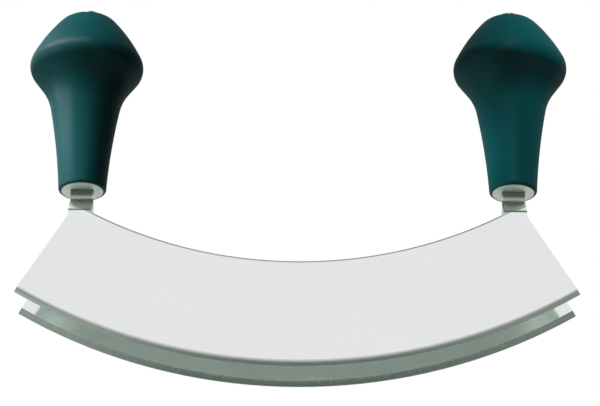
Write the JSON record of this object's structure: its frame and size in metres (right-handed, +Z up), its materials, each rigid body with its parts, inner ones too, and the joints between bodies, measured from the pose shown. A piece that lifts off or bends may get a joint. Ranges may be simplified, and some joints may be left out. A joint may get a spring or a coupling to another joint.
{
  "type": "mezzaluna",
  "caption": "Rocking chopper with parallel crescent steel blades whose formed necks rise into upright green knob handles.",
  "frame": {"origin": "on the board plane midway between the lowest points of the two cutting edges", "axes": "+X along the blades, +Y from the front blade to the rear blade, +Z up towards the knobs"},
  "size_m": [0.22, 0.0458, 0.1593],
  "materials": {
    "blade_steel": "satin-polished stainless sheet with ground bevels",
    "grip_plastic": "satin petrol-green moulding",
    "core_plastic": "plain moulding, hidden",
    "disc_steel": "bright stainless",
    "stud_steel": "plain steel, hidden",
    "nut_steel": "polished dome"
  },
  "bodies": {
    "root": {"front_blade": "blade_steel", "rear_blade": "blade_steel", "left_grip": "grip_plastic", "right_grip": "grip_plastic", "left_grip_core": "core_plastic", "right_grip_core": "core_plastic", "left_end_disc": "disc_steel", "right_end_disc": "disc_steel", "left_tang_stud": "stud_steel", "right_tang_stud": "stud_steel", "left_tang_rivets": "stud_steel", "right_tang_rivets": "stud_steel", "left_nut_washer": "stud_steel", "right_nut_washer": "stud_steel", "left_dome_nut": "nut_steel", "right_dome_nut": "nut_steel"}
  },
  "joints": []
}
